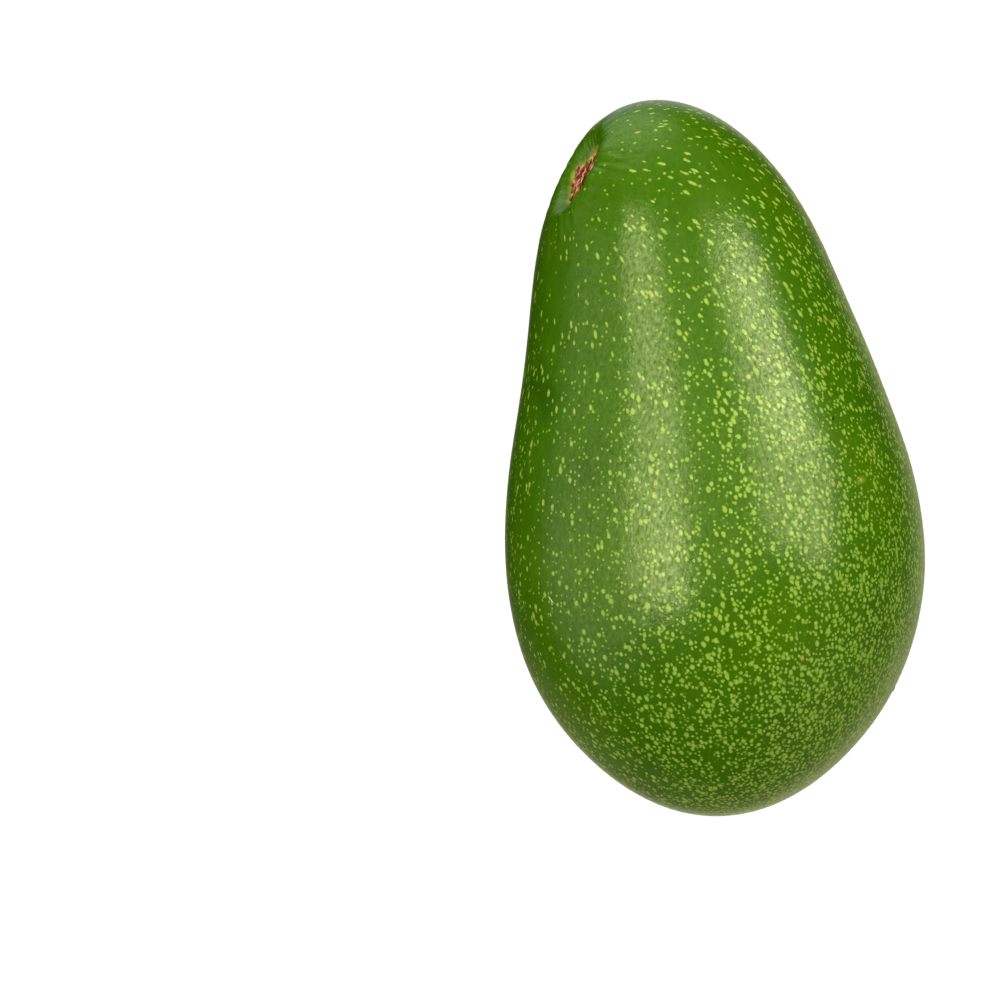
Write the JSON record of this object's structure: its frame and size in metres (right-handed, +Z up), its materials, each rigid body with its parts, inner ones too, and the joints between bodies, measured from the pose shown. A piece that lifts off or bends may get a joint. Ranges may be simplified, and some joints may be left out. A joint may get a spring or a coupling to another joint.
{
  "type": "avocado",
  "caption": "Whole smooth green avocado lying on its flank, pear-shaped with speckled glossy skin, a dry stem scar and a small style scar.",
  "frame": {"origin": "middle of the small flat spot on the fruit's underside that it rests on", "axes": "+Z up from the surface it lies on, +Y from the blunt end towards the neck with the stem scar, +X across, towards the side with the style scar"},
  "size_m": [0.0731, 0.1235, 0.0693],
  "materials": {
    "skin": "waxy semi-gloss fruit skin, green with fine yellow-green lenticels",
    "stem_wood": "dry torn reddish-brown fibres",
    "style_wood": "dry dark brown crust"
  },
  "bodies": {
    "root": {"fruit": "skin", "stem_scar": "stem_wood", "style_scar": "style_wood"}
  },
  "joints": []
}
